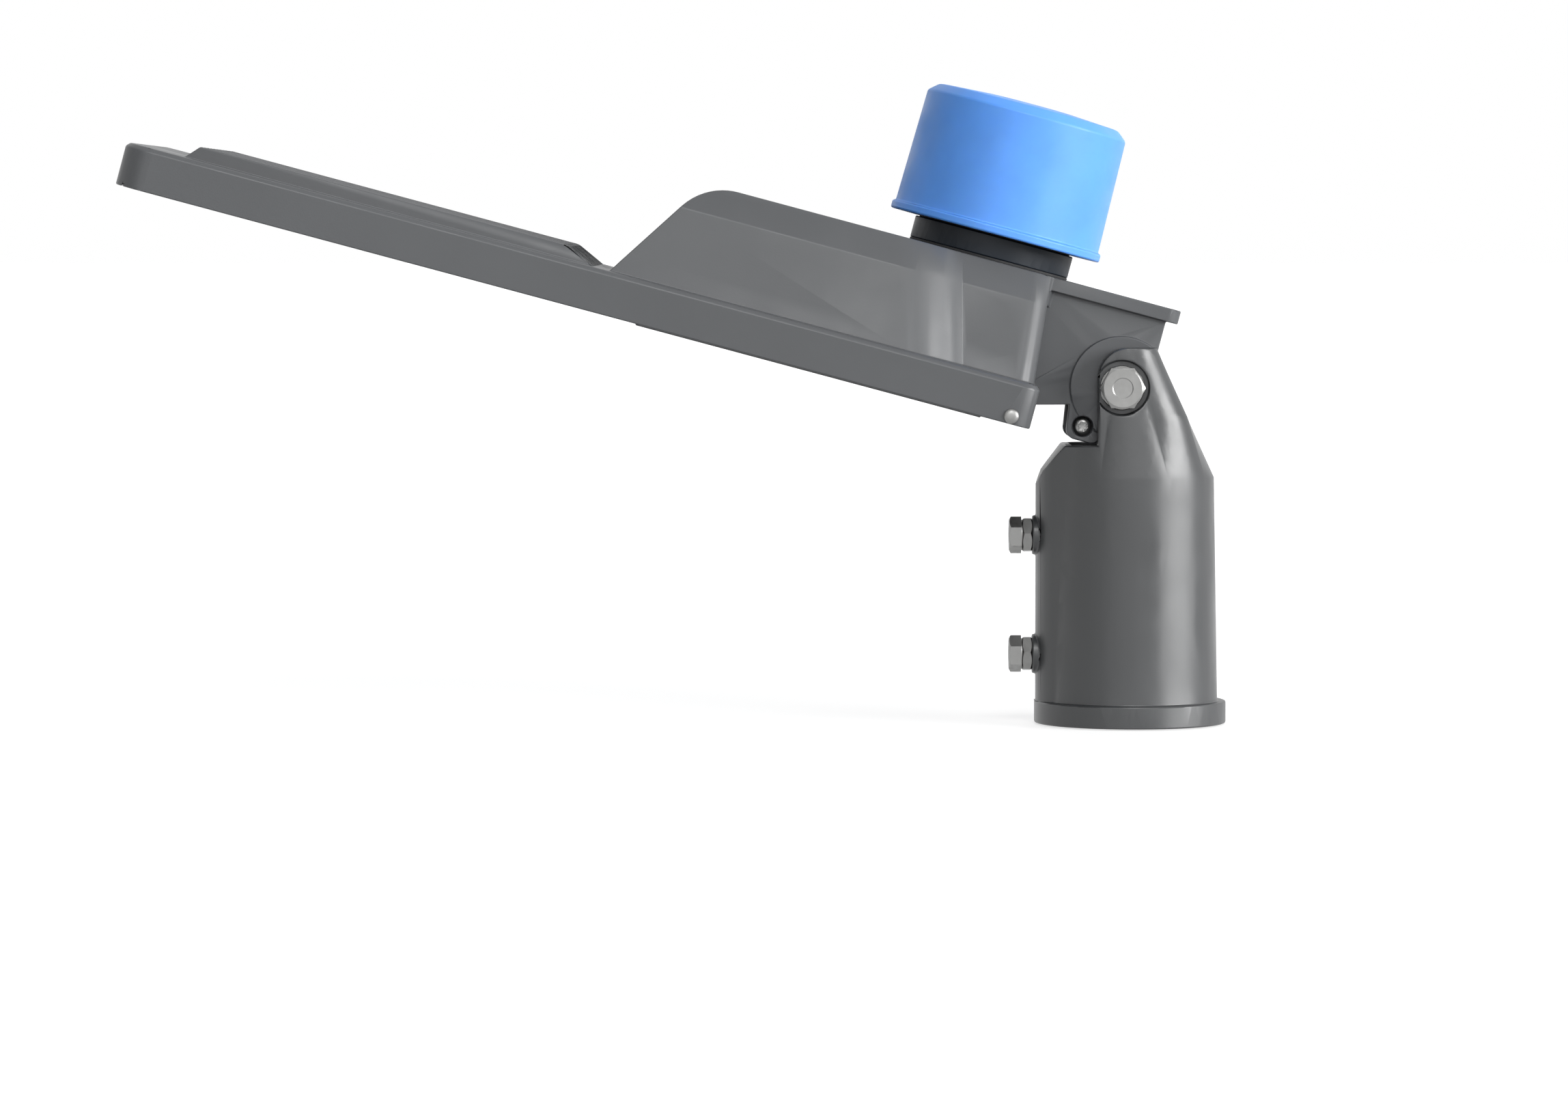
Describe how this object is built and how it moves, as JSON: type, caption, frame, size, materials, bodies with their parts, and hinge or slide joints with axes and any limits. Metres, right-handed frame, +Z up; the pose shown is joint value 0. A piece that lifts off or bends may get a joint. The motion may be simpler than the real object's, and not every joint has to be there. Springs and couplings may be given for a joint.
{
  "type": "led street light head",
  "caption": "Slim LED street light head with a finned slab, gear hump, tilting pole-top adaptor and a twist-lock photocell on top.",
  "frame": {"origin": "centre of the pole socket's mouth, at the bottom face of the adaptor", "axes": "+Z up along the pole, -X towards the tip of the head, Y along the tilt axis"},
  "size_m": [0.4439, 0.1628, 0.2596],
  "materials": {
    "housing_paint": "textured grey powder coat on die-cast aluminium",
    "adaptor_paint": "satin dark grey powder coat on cast aluminium",
    "steel": "plain stainless steel",
    "sheet_steel": "zinc-plated sheet",
    "rubber": "matt black",
    "board_white": "white solder mask on an aluminium board",
    "board_green": "green solder mask",
    "phosphor": "yellow phosphor resin",
    "clear_lens": "clear moulded lens plastic",
    "clear_glass": "clear toughened glass",
    "driver_case": "light grey moulded case",
    "surge_case": "black potted case",
    "terminal_nylon": "cream nylon",
    "gland_nylon": "black nylon",
    "socket_black": "black moulded thermoset",
    "relay_case": "moulded relay case",
    "cap_blue": "blue weatherproof plastic, slightly translucent",
    "brass": "bright brass"
  },
  "bodies": {
    "adaptor": {"spigot_adaptor": "adaptor_paint", "clamp_screws": "steel", "clamp_lock_nuts": "steel", "pivot_washers": "steel", "pivot_bolt": "steel", "pivot_nut": "steel", "cable_grommet": "rubber"},
    "head": {"bezel_screws": "steel", "board_screws": "steel", "cable_gland": "gland_nylon", "cover_glass": "clear_glass", "door_seal": "rubber", "driver": "driver_case", "earth_screw": "steel", "gear_plate": "sheet_steel", "gear_plate_screws": "steel", "gland_nut": "gland_nylon", "glass_bezel": "housing_paint", "glass_seal": "rubber", "hinge_pins": "steel", "housing": "housing_paint", "led_board": "board_white", "led_packages": "phosphor", "lens_plate": "clear_lens", "photocell_socket": "socket_black", "socket_contacts": "brass", "socket_screws": "steel", "socket_seal_ring": "rubber", "surge_protector": "surge_case", "terminal_block": "terminal_nylon"},
    "door": {"gear_door": "housing_paint", "door_screws": "steel"},
    "photocell": {"photocell_cap": "cap_blue", "photocell_base": "socket_black", "photocell_blades": "brass", "photocell_seal": "rubber", "photocell_board": "board_green", "photocell_relay": "relay_case", "light_sensor": "phosphor"}
  },
  "joints": [
    {"name": "head_tilt", "type": "hinge", "parent": "adaptor", "child": "head", "pos_m": [-0.005, 0, 0.137], "axis": [0, 1, 0], "range_deg": [-15, 75]},
    {"name": "door_hinge", "type": "hinge", "parent": "head", "child": "door", "pos_m": [-0.05142, 0, 0.12718], "axis": [0, -1, 0], "range_deg": [0, 75]},
    {"name": "photocell_twist", "type": "hinge", "parent": "head", "child": "photocell", "pos_m": [-0.05557, 0, 0.19786], "axis": [0.2588, 0, 0.9659], "range_deg": [0, 30]}
  ]
}
